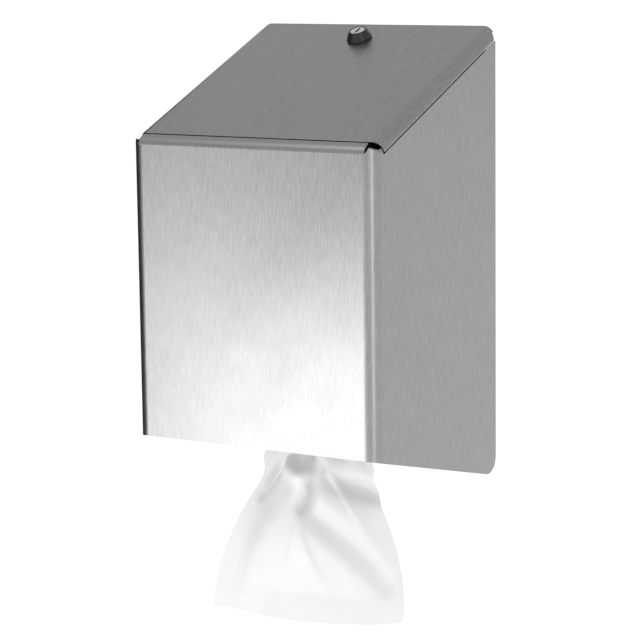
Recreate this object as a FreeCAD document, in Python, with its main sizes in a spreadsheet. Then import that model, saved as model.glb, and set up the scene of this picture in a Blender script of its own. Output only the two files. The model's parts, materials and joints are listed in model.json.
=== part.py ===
"""Wall-mounted centre-pull towel dispenser in sheet steel, with a sloping lockable lid.

Row frame, in millimetres: +Z is up, the wall is the plane Y = 0, the front panel faces -Y and +X is to the
viewer's right. The origin is the centre of the wall screw pattern, on the back face of the back plate.
The lid has a frame of its own: "across" is X, "along" runs up the lid's outer face from the line where that
face would meet the front panel, and "above" is the distance from that face, negative inside the cabinet.
"""

import FreeCAD, Part
import os
import re
import Sketcher
from FreeCAD import Placement, Rotation, Vector

DIMENSIONS = {
    # cabinet
    "cabinet_width": 235.0,
    "cabinet_depth": 205.0,
    "front_height": 251.5,  # front panel, from its bottom edge to the plane of the lid
    "lid_slope": 23.0,  # degrees
    "bottom_slope": 14.0,  # degrees, side panels drop towards the wall
    "gauge": 1.0,  # sheet thickness of the wrapper and the lid
    "corner_radius": 12.0,  # outer radius of the upright bends
    "back_corner_radius": 14.0,
    "lip_radius": 8.0,  # outer radius of the bend at the top of the front panel
    "lip_edge": 8.0,  # free edge of the lip, along the slope
    "lip_end_inset": 9.0,  # end of the lip, in from the side panel
    "lip_relief": 3.2,  # width of the slot at each end of the lip
    "lip_relief_radius": 6.0,
    "corner_reach": 11.0,  # depth of the raised corner in front of the lid's side
    # lid
    "lid_radius": 10.6,
    "lid_skirt": 0.4,  # straight part below the lid's bend
    "seam": 1.0,  # gap between the lid's side and the side panel
    "lid_gap": 2.0,  # gap between the lip and the lid
    "lid_corner_cut": 5.0,
    "lid_wall_gap": 0.5,
    "lid_notch": 2.0,
    # back plate
    "plate_gauge": 1.2,
    "plate_flange": 16.0,
    "plate_bottom_inset": 12.0,  # lower edge of the back plate above the lowest point of the side panels
    "plate_top_inset": 12.0,  # sides of the back plate's top flange, in from the side panels
    "top_flange_depth": 13.0,
    "top_flange_drop": 4.0,  # face of the top flange below the lid's outer face
    "screw_height": 180.0,  # centre of the wall screws above the front panel's bottom edge
    "screw_wide": 150.0,
    "screw_tall": 200.0,
    "screw_radius": 2.75,
    # shelf
    "shelf_height": 15.0,  # top of the shelf above the front panel's bottom edge
    "shelf_gauge": 1.2,
    "shelf_flange": 12.0,
    # feed nozzle
    "nozzle_bore": 26.0,  # radius of the throat
    "nozzle_wall": 3.5,
    "nozzle_flange_radius": 44.0,
    "nozzle_flange_thick": 2.0,
    "nozzle_length": 14.0,  # below the shelf's top face
    "nozzle_fit": 0.3,
    "ring_radius": 38.0,
    "ring_thick": 6.0,
    "ring_notches": 12,
    # hinge
    "hinge_length": 200.0,
    "hinge_pairs": 8,
    "knuckle_radius": 1.6,
    "knuckle_play": 0.3,
    "hinge_pin_radius": 0.8,
    "hinge_fit": 0.05,
    "hinge_gauge": 0.8,
    "hinge_back": 1.5,  # hinge axis behind the lid's front edge
    "hinge_clear": 0.15,  # knuckles under the lid
    "lid_leaf_length": 15.0,
    "fixed_leaf_drop": 8.0,
    "fixed_leaf_flange": 12.0,
    # lock
    "lock_from_back": 30.0,  # lock axis from the upper end of the slope
    "bezel_radius": 11.0,
    "bezel_top_radius": 7.5,
    "bezel_foot": 2.6,
    "bezel_height": 8.7,
    "plug_radius": 6.4,
    "plug_fit": 0.05,
    "plug_recess": 0.3,
    "key_slot_long": 8.6,
    "key_slot_wide": 1.9,
    "key_slot_deep": 6.0,
    "barrel_radius": 9.0,
    "barrel_flat": 7.9,
    "barrel_length": 21.0,  # below the lid's outer face
    "barrel_fit": 0.2,
    "nut_flats": 24.0,
    "nut_thick": 4.0,
    "washer_radius": 13.0,
    "washer_thick": 0.8,
    "cam_thick": 2.5,
    "cam_reach": 16.0,
    "cam_radius": 7.0,
    "cam_play": 0.3,
    "tang_side": 7.0,
    "cam_screw_radius": 2.0,
    "cam_screw_head": 4.6,
    "cam_screw_head_thick": 2.6,
    "cam_washer_radius": 5.5,
    "cam_washer_thick": 0.8,
    # strike for the cam
    "strike_gauge": 1.5,
    "strike_width": 44.0,
    "strike_gap": 1.0,  # free edge of the leg behind the lock barrel, which swings past it
    "strike_leg": 14.0,  # height of the upright on the back plate
    "strike_clear": 0.8,  # between the cam and the strike
    # rubber bumpers under the lid
    "bumper_radius": 4.5,
    "bumper_across": 70.0,
    "bumper_clear": 0.3,
    # paper
    "roll_radius": 95.0,
    "roll_bore": 32.0,
    "roll_height": 204.0,
    "roll_clear": 0.3,
    "tail_rope_radius": 15.0,
    "tail_rope_depth": 14.0,
    "tail_rope_height": 130.0,  # gathered part above the shelf
    "tail_drop": 171.0,  # free end below the front panel's bottom edge
    "tail_neck_half_width": 50.0,
    "tail_neck_half_depth": 10.0,
    "tail_neck_drop": 30.0,
    "tail_end_half_width": 99.0,
    "tail_end_half_depth": 6.0,
    "tail_end_shift": -15.0,
}

COS = "cos(lid_slope * 1deg)"
SIN = "sin(lid_slope * 1deg)"
TAN = "tan(lid_slope * 1deg)"
FALL = "tan(bottom_slope * 1deg)"
HALF_WIDTH = "cabinet_width / 2"
INNER_HALF_WIDTH = "(cabinet_width / 2 - gauge)"
LID_LINE = "(front_height - screw_height)"  # height of the lid's plane at the front panel
LIP_TANGENT = "(lip_radius * tan((90 - lid_slope) * 0.5deg))"  # from the bend line to the lid's plane
PANEL_TOP = "(lid_radius + lid_skirt + seam)"  # side panels below the lid's outer face
SLOPE_LENGTH = f"(cabinet_depth / {COS})"
LID_FRONT = "(lip_edge + lid_gap)"
HINGE_ALONG = f"({LID_FRONT} + hinge_back)"
HINGE_ABOVE = "(-(gauge + knuckle_radius + hinge_clear))"
HINGE_Y = f"(-cabinet_depth + {HINGE_ALONG} * {COS} - {HINGE_ABOVE} * {SIN})"
HINGE_Z = f"({LID_LINE} + {HINGE_ALONG} * {SIN} + {HINGE_ABOVE} * {COS})"
LOCK_ALONG = f"({SLOPE_LENGTH} - lock_from_back)"
CAM_TOP = "(-(barrel_length + cam_play))"
SHELF_TOP = "(shelf_height - screw_height)"
ROLL_BOTTOM = f"({SHELF_TOP} + nozzle_flange_thick + roll_clear)"
CENTRE_Y = "(-cabinet_depth / 2)"
TOOL_OVERRUN = 5.0  # how far a cutting tool runs past the face that it cuts

doc = FreeCAD.newDocument("towel_dispenser")
sheet = doc.addObject("Spreadsheet::Sheet", "dims")
for row, (alias, size) in enumerate(DIMENSIONS.items(), start=1):
    sheet.set(f"A{row}", alias)
    sheet.set(f"B{row}", str(size))
    sheet.setAlias(f"B{row}", alias)
doc.recompute()

ALIAS = re.compile(r"\b(" + "|".join(DIMENSIONS) + r")\b")
sub_parts = []


# ---- helpers -------------------------------------------------------------------------------------------


def formula(text):
    """The expression for text, in which each dimension's name stands for its cell."""
    return ALIAS.sub(r"dims.\1", str(text))


def number(text):
    """The present value of a formula."""
    return float(sheet.evalExpression(formula(text)))


def bind(thing, **properties):
    """Bind properties of thing to formulas."""
    for name, text in properties.items():
        thing.setExpression(name, formula(text))
    return thing


def place(thing, x=0, y=0, z=0, rotation=None):
    """Place thing in the row frame, its position bound to formulas."""
    thing.Placement = Placement(Vector(), rotation or Rotation())
    for axis, text in zip("xyz", (x, y, z)):
        thing.setExpression(f"Placement.Base.{axis}", formula(text))
    return thing


def place_on_lid(thing, across=0, along=0, above=0):
    """Place thing in the lid's frame: its x, y and z run across, along and above."""
    y = f"-cabinet_depth + ({along}) * {COS} - ({above}) * {SIN}"
    z = f"{LID_LINE} + ({along}) * {SIN} + ({above}) * {COS}"
    place(thing, across, y, z, Rotation(Vector(1, 0, 0), number("lid_slope")))
    thing.setExpression("Placement.Rotation.Angle", formula("lid_slope"))
    return thing


def box(name, x, y, z, on_lid=False):
    """A block between two formulas on each axis, in the row frame or in the lid's."""
    block = doc.addObject("Part::Box", name)
    spans = zip(("Length", "Width", "Height"), (x, y, z))
    bind(block, **{side: f"({high}) - ({low})" for side, (low, high) in spans})
    (place_on_lid if on_lid else place)(block, x[0], y[0], z[0])
    return block


def cylinder(name, radius, height):
    """An upright cylinder, still to be placed."""
    return bind(doc.addObject("Part::Cylinder", name), Radius=radius, Height=height)


def lid_cylinder(name, radius, low, high, along=LOCK_ALONG):
    """A cylinder square to the lid, between two heights above its outer face."""
    return place_on_lid(cylinder(name, radius, f"({high}) - ({low})"), 0, along, low)


def along_x(name, radius, x_low, x_high, y, z):
    """A cylinder that runs along X."""
    rod = cylinder(name, radius, f"({x_high}) - ({x_low})")
    return place(rod, x_low, y, z, Rotation(Vector(0, 1, 0), 90))


def cut(name, base, *tools):
    """The base less each of the tools."""
    for index, tool in enumerate(tools):
        result = doc.addObject("Part::Cut", name if tool is tools[-1] else f"{name}_cut_{index}")
        result.Base = base
        result.Tool = tool
        base = result
    return base


def combine(kind, name, *shapes):
    """A multiple fusion or common of shapes; kind is Part::MultiFuse or Part::MultiCommon."""
    result = doc.addObject(kind, name)
    result.Shapes = list(shapes)
    return result


def fuse(name, *shapes):
    return combine("Part::MultiFuse", name, *shapes)


def common(name, *shapes):
    return combine("Part::MultiCommon", name, *shapes)


def body(name):
    return doc.addObject("PartDesign::Body", name)


def profile(owner, name, plane, corners, lift=0):
    """A closed sketch through corners, on one of the body's own origin planes, lifted off it by a formula."""
    sketch = owner.newObject("Sketcher::SketchObject", name)
    support = next(item for item in owner.Origin.OriginFeatures if item.Role == plane)
    sketch.AttachmentSupport = [(support, "")]
    sketch.MapMode = "FlatFace"
    sketch.setExpression("AttachmentOffset.Base.z", formula(lift))
    points = [Vector(number(u), number(v), 0) for u, v in corners]
    for index, point in enumerate(points):
        sketch.addGeometry(Part.LineSegment(point, points[(index + 1) % len(points)]), False)
    for index in range(len(points)):
        sketch.addConstraint(Sketcher.Constraint("Coincident", index, 2, (index + 1) % len(points), 1))
    for index, corner in enumerate(corners):
        for kind, text in zip(("DistanceX", "DistanceY"), corner):
            key = sketch.addConstraint(Sketcher.Constraint(kind, -1, 1, index, 1, number(text)))
            sketch.setExpression(f"Constraints[{key}]", formula(text))
    return sketch


def rectangle(u, v):
    """The corners of a rectangle between two formulas each way."""
    return [(u[0], v[0]), (u[1], v[0]), (u[1], v[1]), (u[0], v[1])]


def pad(owner, name, sketch, length, midplane=False):
    feature = owner.newObject("PartDesign::Pad", name)
    feature.Profile = sketch
    feature.Midplane = midplane
    return bind(feature, Length=length)


def pocket(owner, name, sketch, length):
    """A pocket that cuts length to each side of its sketch together."""
    before = owner.Tip
    feature = owner.newObject("PartDesign::Pocket", name)
    feature.Profile = sketch
    feature.Midplane = True
    bind(feature, Length=length)
    doc.recompute()
    if feature.Shape.Volume >= before.Shape.Volume:
        raise RuntimeError(f"{name} cuts nothing")
    return feature


def fillet(owner, name, radius, wanted):
    """Round the edges of the body's tip for which wanted is true."""
    doc.recompute()
    base = owner.Tip
    names = [f"Edge{index}" for index, edge in enumerate(base.Shape.Edges, start=1) if wanted(edge)]
    feature = owner.newObject("PartDesign::Fillet", name)
    feature.Base = (base, names)
    return bind(feature, Radius=radius)


def revolve(owner, section):
    """Turn a section about the body's upright axis; each corner is a radius and a height."""
    turned = owner.newObject("PartDesign::Revolution", f"{owner.Name}_turned")
    turned.Profile = profile(owner, f"{owner.Name}_section", "XZ_Plane", section)
    turned.ReferenceAxis = (turned.Profile[0], ["V_Axis"])
    turned.Angle = 360
    return owner


def runs_along(edge, axis):
    """Whether an edge is straight and parallel to an axis, 0 for x, 1 for y or 2 for z."""
    if len(edge.Vertexes) != 2 or not isinstance(edge.Curve, Part.Line):
        return False
    return abs(edge.Curve.Direction[axis]) > 0.999


def at(edge, axis, place_on_axis):
    """Whether the middle of an edge is at a place on an axis, to a hundredth of a millimetre."""
    return abs(edge.CenterOfMass[axis] - place_on_axis) < 0.01


def finished(thing, label):
    """Name a sub-part's final object; the label is its node."""
    thing.Label = label
    sub_parts.append(thing)
    return thing


# ---- wrapper: front panel and two side panels from one sheet ----------------------------------------------


def upright_sheet():
    """The front and sides as a U in plan, with rounded upright corners, taller than needed at both ends."""
    low = f"-screw_height - cabinet_depth * {FALL} - {TOOL_OVERRUN}"
    high = f"{LID_LINE} + cabinet_depth * {TAN} + {TOOL_OVERRUN}"
    sheet_body = body("upright_sheet")
    outside = rectangle((f"-{HALF_WIDTH}", HALF_WIDTH), ("-cabinet_depth", 0))
    pad(sheet_body, "upright_block", profile(sheet_body, "upright_plan", "XY_Plane", outside, low),
        f"({high}) - ({low})")
    inside = rectangle((f"-{INNER_HALF_WIDTH}", INNER_HALF_WIDTH), ("-cabinet_depth + gauge", TOOL_OVERRUN))
    hollow = profile(sheet_body, "upright_hollow_plan", "XY_Plane", inside)
    pocket(sheet_body, "upright_hollow", hollow, f"4 * ({high})")
    front = -number("cabinet_depth")
    inner = front + number("gauge")
    fillet(sheet_body, "upright_inner_corners", "corner_radius - gauge",
           lambda e: runs_along(e, 2) and at(e, 1, inner))
    fillet(sheet_body, "upright_corners", "corner_radius", lambda e: runs_along(e, 2) and at(e, 1, front))
    return sheet_body


def side_outline():
    """A prism with the outline of the side panels: sloping top and bottom and a rounded lower back corner."""
    prism = body("side_outline")
    drop = f"{PANEL_TOP} / {COS}"
    ahead = f"-cabinet_depth - {TOOL_OVERRUN}"
    corners = [
        (ahead, f"-screw_height + {TOOL_OVERRUN} * {FALL}"),
        (0, f"-screw_height - cabinet_depth * {FALL}"),
        (0, f"{LID_LINE} + cabinet_depth * {TAN} - {drop}"),
        (ahead, f"{LID_LINE} - {TOOL_OVERRUN} * {TAN} - {drop}"),
    ]
    pad(prism, "side_outline_pad", profile(prism, "side_outline_sketch", "YZ_Plane", corners),
        f"cabinet_width + 2 * {TOOL_OVERRUN}", midplane=True)
    lowest = number(corners[1][1])
    fillet(prism, "side_outline_corner", "back_corner_radius",
           lambda e: runs_along(e, 0) and at(e, 1, 0) and at(e, 2, lowest))
    return prism


def raised_corners():
    """The block that leaves the upright corners standing to the lid's own section, in front of its sides."""
    block = body("raised_corners")
    low = "-3 * lid_radius"
    plan = rectangle((f"-{HALF_WIDTH}", HALF_WIDTH), ("-3 * lid_radius", f"corner_reach / {COS}"))
    pad(block, "raised_block", profile(block, "raised_plan", "XY_Plane", plan, low), "3 * lid_radius")
    fillet(block, "raised_round", "lid_radius", lambda e: runs_along(e, 1) and at(e, 2, 0))
    return place_on_lid(block)


def lip_window():
    """The opening in the front panel above the bend line, with its lower corners rounded up to the lid."""
    window = body("lip_window")
    half = f"({HALF_WIDTH} - lip_end_inset + lip_relief)"
    low = f"{LID_LINE} - {LIP_TANGENT}"
    outline = rectangle((f"-{half}", half), (low, f"{LID_LINE} + 4 * lip_radius"))
    sketch = profile(window, "lip_window_sketch", "XZ_Plane", outline, "cabinet_depth")
    pad(window, "lip_window_pad", sketch, "2 * corner_radius", midplane=True)
    bottom = number(low)
    fillet(window, "lip_window_corners", "lip_relief_radius", lambda e: runs_along(e, 1) and at(e, 2, bottom))
    return window


def lip():
    """The bend at the top of the front panel and the narrow flat behind it."""
    half = f"({HALF_WIDTH} - lip_end_inset)"
    y = "-cabinet_depth + lip_radius"
    z = f"{LID_LINE} - {LIP_TANGENT}"
    towards_front = Rotation(Vector(0, -1, 0), Vector(0, 0, 1), Vector(-1, 0, 0), "XYZ")
    outer = place(bind(cylinder("lip_bend_outer", "lip_radius", f"2 * {half}"), Angle="90 - lid_slope"),
                  half, y, z, towards_front)
    inner = along_x("lip_bend_inner", "lip_radius - gauge", f"-{half} - {TOOL_OVERRUN}",
                    f"{half} + {TOOL_OVERRUN}", y, z)
    bend = cut("lip_bend", outer, inner)
    flat = box("lip_flat", (f"-{half}", half), (LIP_TANGENT, "lip_edge"), ("-gauge", 0), on_lid=True)
    return bend, flat


def make_body_shell():
    """The wrapper that makes the front panel and both side panels."""
    outline = fuse("wrapper_outline", side_outline(), raised_corners())
    panels = cut("wrapper_panels", common("wrapper_cut", upright_sheet(), outline), lip_window())
    finished(fuse("body_shell", panels, *lip()), "body_shell")


# ---- back plate and shelf -------------------------------------------------------------------------------


def make_back_plate():
    """The plate on the wall, with side flanges, a top flange under the lid and four screw holes."""
    bottom = f"-screw_height - cabinet_depth * {FALL} + plate_bottom_inset"
    side_top = f"{LID_LINE} + (cabinet_depth - plate_flange) * {TAN} - ({PANEL_TOP} + seam) / {COS}"
    top = f"{LID_LINE} + cabinet_depth * {TAN} - top_flange_drop / {COS}"
    narrow = f"({HALF_WIDTH} - plate_top_inset)"
    wide = (f"-{INNER_HALF_WIDTH}", INNER_HALF_WIDTH)
    plate = box("plate_sheet", wide, ("-plate_gauge", 0), (bottom, side_top))
    upper = box("plate_upper", (f"-{narrow}", narrow), ("-plate_gauge", 0),
                (side_top, f"{top} - plate_gauge * {TAN}"))
    flanges = []
    for index, left in enumerate((f"-{INNER_HALF_WIDTH}", f"{INNER_HALF_WIDTH} - plate_gauge")):
        flanges.append(box(f"plate_flange_{index}", (left, f"{left} + plate_gauge"), ("-plate_flange", 0),
                           (f"{SHELF_TOP} + seam", side_top)))
    top_flange = box("plate_top_flange", (f"-{narrow}", narrow),
                     (f"{SLOPE_LENGTH} - top_flange_depth / {COS}", SLOPE_LENGTH),
                     ("-top_flange_drop - plate_gauge", "-top_flange_drop"), on_lid=True)
    beyond_wall = box("plate_wall_trim", (f"-{HALF_WIDTH}", HALF_WIDTH), (0, 4 * TOOL_OVERRUN),
                      (0, f"{top} + {4 * TOOL_OVERRUN}"))
    holes = []
    for index, (side, level) in enumerate([(-1, -1), (1, -1), (-1, 1), (1, 1)]):
        hole = cylinder(f"wall_screw_hole_{index}", "screw_radius", "4 * plate_gauge")
        holes.append(place(hole, f"{side} * screw_wide / 2", "2 * plate_gauge", f"{level} * screw_tall / 2",
                           Rotation(Vector(1, 0, 0), 90)))
    whole = fuse("plate_whole", plate, upper, *flanges, top_flange)
    finished(cut("back_plate", whole, beyond_wall, *holes), "back_plate")


def make_shelf():
    """The shelf under the roll: a tray with flanges turned down, and a round hole for the nozzle."""
    tray = body("shelf_tray")
    half = INNER_HALF_WIDTH
    front, back = "-cabinet_depth + gauge", "-plate_gauge"
    low = f"{SHELF_TOP} - shelf_flange"
    plan = rectangle((f"-{half}", half), (front, back))
    pad(tray, "shelf_block", profile(tray, "shelf_plan", "XY_Plane", plan, low), "shelf_flange")
    inside = rectangle((f"-{half} + shelf_gauge", f"{half} - shelf_gauge"),
                       (f"{front} + shelf_gauge", f"{back} - shelf_gauge"))
    hollow = profile(tray, "shelf_hollow_plan", "XY_Plane", inside, low)
    pocket(tray, "shelf_hollow", hollow, "2 * (shelf_flange - shelf_gauge)")
    inner_y = number(f"{front} + shelf_gauge")
    fillet(tray, "shelf_inner_corners", "corner_radius - gauge - shelf_gauge",
           lambda e: runs_along(e, 2) and at(e, 1, inner_y))
    outer_y = number(front)
    fillet(tray, "shelf_corners", "corner_radius - gauge", lambda e: runs_along(e, 2) and at(e, 1, outer_y))
    hole = place(cylinder("shelf_hole", "nozzle_bore + nozzle_wall + nozzle_fit", "4 * shelf_gauge"),
                 0, CENTRE_Y, f"{SHELF_TOP} - 2 * shelf_gauge")
    finished(cut("shelf", tray, hole), "shelf")


def make_strike():
    """The angle on the back plate whose leg stands over the cam when the lock is turned."""
    across = ("-strike_width / 2", "strike_width / 2")
    low = f"({CAM_TOP} + strike_clear)"
    start, end = f"{LOCK_ALONG} + barrel_radius + strike_gap", SLOPE_LENGTH
    leg = box("strike_leg", across, (start, end), (low, f"{low} + strike_gauge"), on_lid=True)
    root_z = f"({LID_LINE} + cabinet_depth * {TAN} + {low} / {COS})"
    upright = box("strike_upright", across, ("-plate_gauge - strike_gauge", "-plate_gauge"),
                  (root_z, f"{root_z} + strike_leg"))
    behind_plate = box("strike_trim", ("-strike_width", "strike_width"), ("-plate_gauge", 4 * TOOL_OVERRUN),
                       (f"{root_z} - strike_leg", f"{root_z} + 2 * strike_leg"))
    finished(cut("strike_bracket", fuse("strike_whole", leg, upright), behind_plate), "strike_bracket")


def make_bumpers():
    """Two rubber buttons on the top flange, which the lid rests on."""
    along = f"{SLOPE_LENGTH} - top_flange_depth / {COS} / 2 - top_flange_drop * {TAN} / 2"
    for side, label in ((-1, "lid_bumper_left"), (1, "lid_bumper_right")):
        button = cylinder(f"{label}_button", "bumper_radius", "top_flange_drop - gauge - bumper_clear")
        place_on_lid(button, f"{side} * bumper_across", along, "-top_flange_drop")
        finished(button, label)


# ---- lid and hinge --------------------------------------------------------------------------------------


def make_lid():
    """The lid: a flat sheet with both sides bent down, cut for the lock and trimmed at its four corners."""
    owner = body("lid_sheet")
    depth = "(lid_radius + lid_skirt)"
    beyond = f"{SLOPE_LENGTH} + 2 * {TOOL_OVERRUN}"
    cut_start = f"({HALF_WIDTH} - lid_radius)"
    cut_end = f"{LID_FRONT} + lid_corner_cut"
    plan = [(f"-{cut_start}", LID_FRONT), (cut_start, LID_FRONT), (HALF_WIDTH, cut_end),
            (HALF_WIDTH, beyond), (f"-{HALF_WIDTH}", beyond), (f"-{HALF_WIDTH}", cut_end)]
    pad(owner, "lid_block", profile(owner, "lid_plan", "XY_Plane", plan, f"-{depth}"), depth)
    inside = rectangle((f"-{INNER_HALF_WIDTH}", INNER_HALF_WIDTH),
                       (f"-{TOOL_OVERRUN}", f"{beyond} + {TOOL_OVERRUN}"))
    hollow = profile(owner, "lid_hollow_plan", "XY_Plane", inside, f"-{depth}")
    pocket(owner, "lid_hollow", hollow, f"2 * ({depth} - gauge)")
    under = -number("gauge")
    fillet(owner, "lid_inner_bends", "lid_radius - gauge", lambda e: runs_along(e, 1) and at(e, 2, under))
    fillet(owner, "lid_bends", "lid_radius", lambda e: runs_along(e, 1) and at(e, 2, 0))
    place_on_lid(owner)
    top_z = f"{LID_LINE} + cabinet_depth * {TAN}"
    wide = (f"-{HALF_WIDTH} - {TOOL_OVERRUN}", f"{HALF_WIDTH} + {TOOL_OVERRUN}")
    wall_trim = box("lid_wall_trim", wide, ("-lid_wall_gap", 6 * TOOL_OVERRUN),
                    (f"{top_z} - 3 * lid_radius", f"{top_z} + 3 * lid_radius"))
    notch_top = f"{top_z} - lid_radius / 2 / {COS}"
    notch = box("lid_notch_tool", wide, ("-lid_wall_gap - lid_notch", 0),
                (f"{notch_top} - 2 * lid_radius", notch_top))
    lock_hole = with_flats("lid_lock_hole", "barrel_radius + barrel_fit", "barrel_flat + barrel_fit",
                           "-2 * gauge", "gauge")
    finished(cut("lid", owner, wall_trim, notch, lock_hole), "lid")


def hinge_knuckles(name, first):
    """Every second knuckle of the hinge, starting at the first, with a clear bore."""
    pitch = "(hinge_length / (2 * hinge_pairs))"
    rings = []
    for index in range(first, 2 * round(number("hinge_pairs")), 2):
        left = f"-hinge_length / 2 + {index} * {pitch} + knuckle_play / 2"
        rings.append(along_x(f"{name}_knuckle_{index}", "knuckle_radius", left,
                             f"{left} + {pitch} - knuckle_play", HINGE_Y, HINGE_Z))
    return rings


def hinge_slots(name, first):
    """Clearance for the other leaf's knuckles, as blocks about the hinge axis."""
    pitch = "(hinge_length / (2 * hinge_pairs))"
    reach = "(knuckle_radius + knuckle_play)"
    slots = []
    for index in range(first, 2 * round(number("hinge_pairs")), 2):
        left = f"-hinge_length / 2 + {index} * {pitch} - knuckle_play / 2"
        slots.append(along_x(f"{name}_slot_{index}", reach, left, f"{left} + {pitch} + knuckle_play",
                             HINGE_Y, HINGE_Z))
    return slots


def hinge_bore(name):
    return along_x(name, "hinge_pin_radius + hinge_fit", "-hinge_length", "hinge_length", HINGE_Y, HINGE_Z)


def make_hinge():
    """The piano hinge behind the lip: a cranked leaf on the front panel, a flat leaf on the lid and a pin."""
    across = ("-hinge_length / 2", "hinge_length / 2")
    leaf = box("lid_leaf_plate", across, (HINGE_ALONG, f"{HINGE_ALONG} + lid_leaf_length"),
               ("-gauge - hinge_gauge", "-gauge"), on_lid=True)
    lid_leaf = cut("lid_leaf_solid", fuse("lid_leaf_whole", leaf, *hinge_knuckles("lid_leaf", 0)),
                   *hinge_slots("lid_leaf", 1), hinge_bore("lid_leaf_bore"))
    finished(lid_leaf, "hinge_lid_leaf")

    panel = "-cabinet_depth + gauge"
    low = f"{HINGE_Z} - fixed_leaf_drop"
    web = (f"{HINGE_Y} - hinge_gauge / 2", f"{HINGE_Y} + hinge_gauge / 2")
    drop = box("fixed_leaf_drop_plate", across, web, (low, HINGE_Z))
    step = box("fixed_leaf_step", across, (panel, web[1]), (f"{low} - hinge_gauge", low))
    flange = box("fixed_leaf_weld", across, (panel, f"{panel} + hinge_gauge"),
                 (f"{low} - fixed_leaf_flange", low))
    whole = fuse("fixed_leaf_whole", drop, step, flange, *hinge_knuckles("fixed_leaf", 1))
    fixed_leaf = cut("fixed_leaf_solid", whole, *hinge_slots("fixed_leaf", 0), hinge_bore("fixed_leaf_bore"))
    finished(fixed_leaf, "hinge_fixed_leaf")
    finished(along_x("pin_rod", "hinge_pin_radius", *across, HINGE_Y, HINGE_Z), "hinge_pin")


# ---- lock -----------------------------------------------------------------------------------------------


def with_flats(name, radius, flat, low, high):
    """A round bar on the lock's axis with a flat on each side, across the slope."""
    bar = lid_cylinder(f"{name}_round", radius, low, high)
    along = (f"{LOCK_ALONG} - 2 * barrel_radius", f"{LOCK_ALONG} + 2 * barrel_radius")
    slab = box(f"{name}_flats", (f"-({flat})", flat), along, (low, high), on_lid=True)
    return common(name, bar, slab)


def make_lock_housing():
    """The fixed parts of the cam lock: bezel, barrel, washer and nut."""
    bore = "(plug_radius + plug_fit)"
    section = [(bore, 0), ("bezel_radius", 0), ("bezel_radius", "bezel_foot"),
               ("bezel_top_radius", "bezel_height"), (bore, "bezel_height")]
    bezel = revolve(body("bezel"), section)
    finished(place_on_lid(bezel, 0, LOCK_ALONG, 0), "lock_bezel")

    barrel = with_flats("barrel_bar", "barrel_radius", "barrel_flat", "-barrel_length", 0)
    barrel_bore = lid_cylinder("barrel_bore", bore, f"-barrel_length - {TOOL_OVERRUN}", TOOL_OVERRUN)
    finished(cut("barrel_solid", barrel, barrel_bore), "lock_barrel")

    thread = "(barrel_radius + barrel_fit)"
    washer_low = "(-gauge - washer_thick)"
    washer = lid_cylinder("washer_disc", "washer_radius", washer_low, "-gauge")
    washer_hole = lid_cylinder("washer_hole", thread, f"{washer_low} - {TOOL_OVERRUN}", 0)
    finished(cut("washer_solid", washer, washer_hole),
             "lock_washer")

    nut = body("nut_blank")
    corner = "(nut_flats / sqrt(3))"
    half = "(nut_flats / 2)"
    hexagon = [(corner, 0), (f"{corner} / 2", half), (f"-{corner} / 2", half), (f"-{corner}", 0),
               (f"-{corner} / 2", f"-{half}"), (f"{corner} / 2", f"-{half}")]
    pad(nut, "nut_pad", profile(nut, "nut_sketch", "XY_Plane", hexagon), "nut_thick")
    place_on_lid(nut, 0, LOCK_ALONG, f"{washer_low} - nut_thick")
    nut_hole = lid_cylinder("nut_hole", thread, f"{washer_low} - nut_thick - {TOOL_OVERRUN}", 0)
    finished(cut("nut_solid", nut, nut_hole), "lock_nut")


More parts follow.
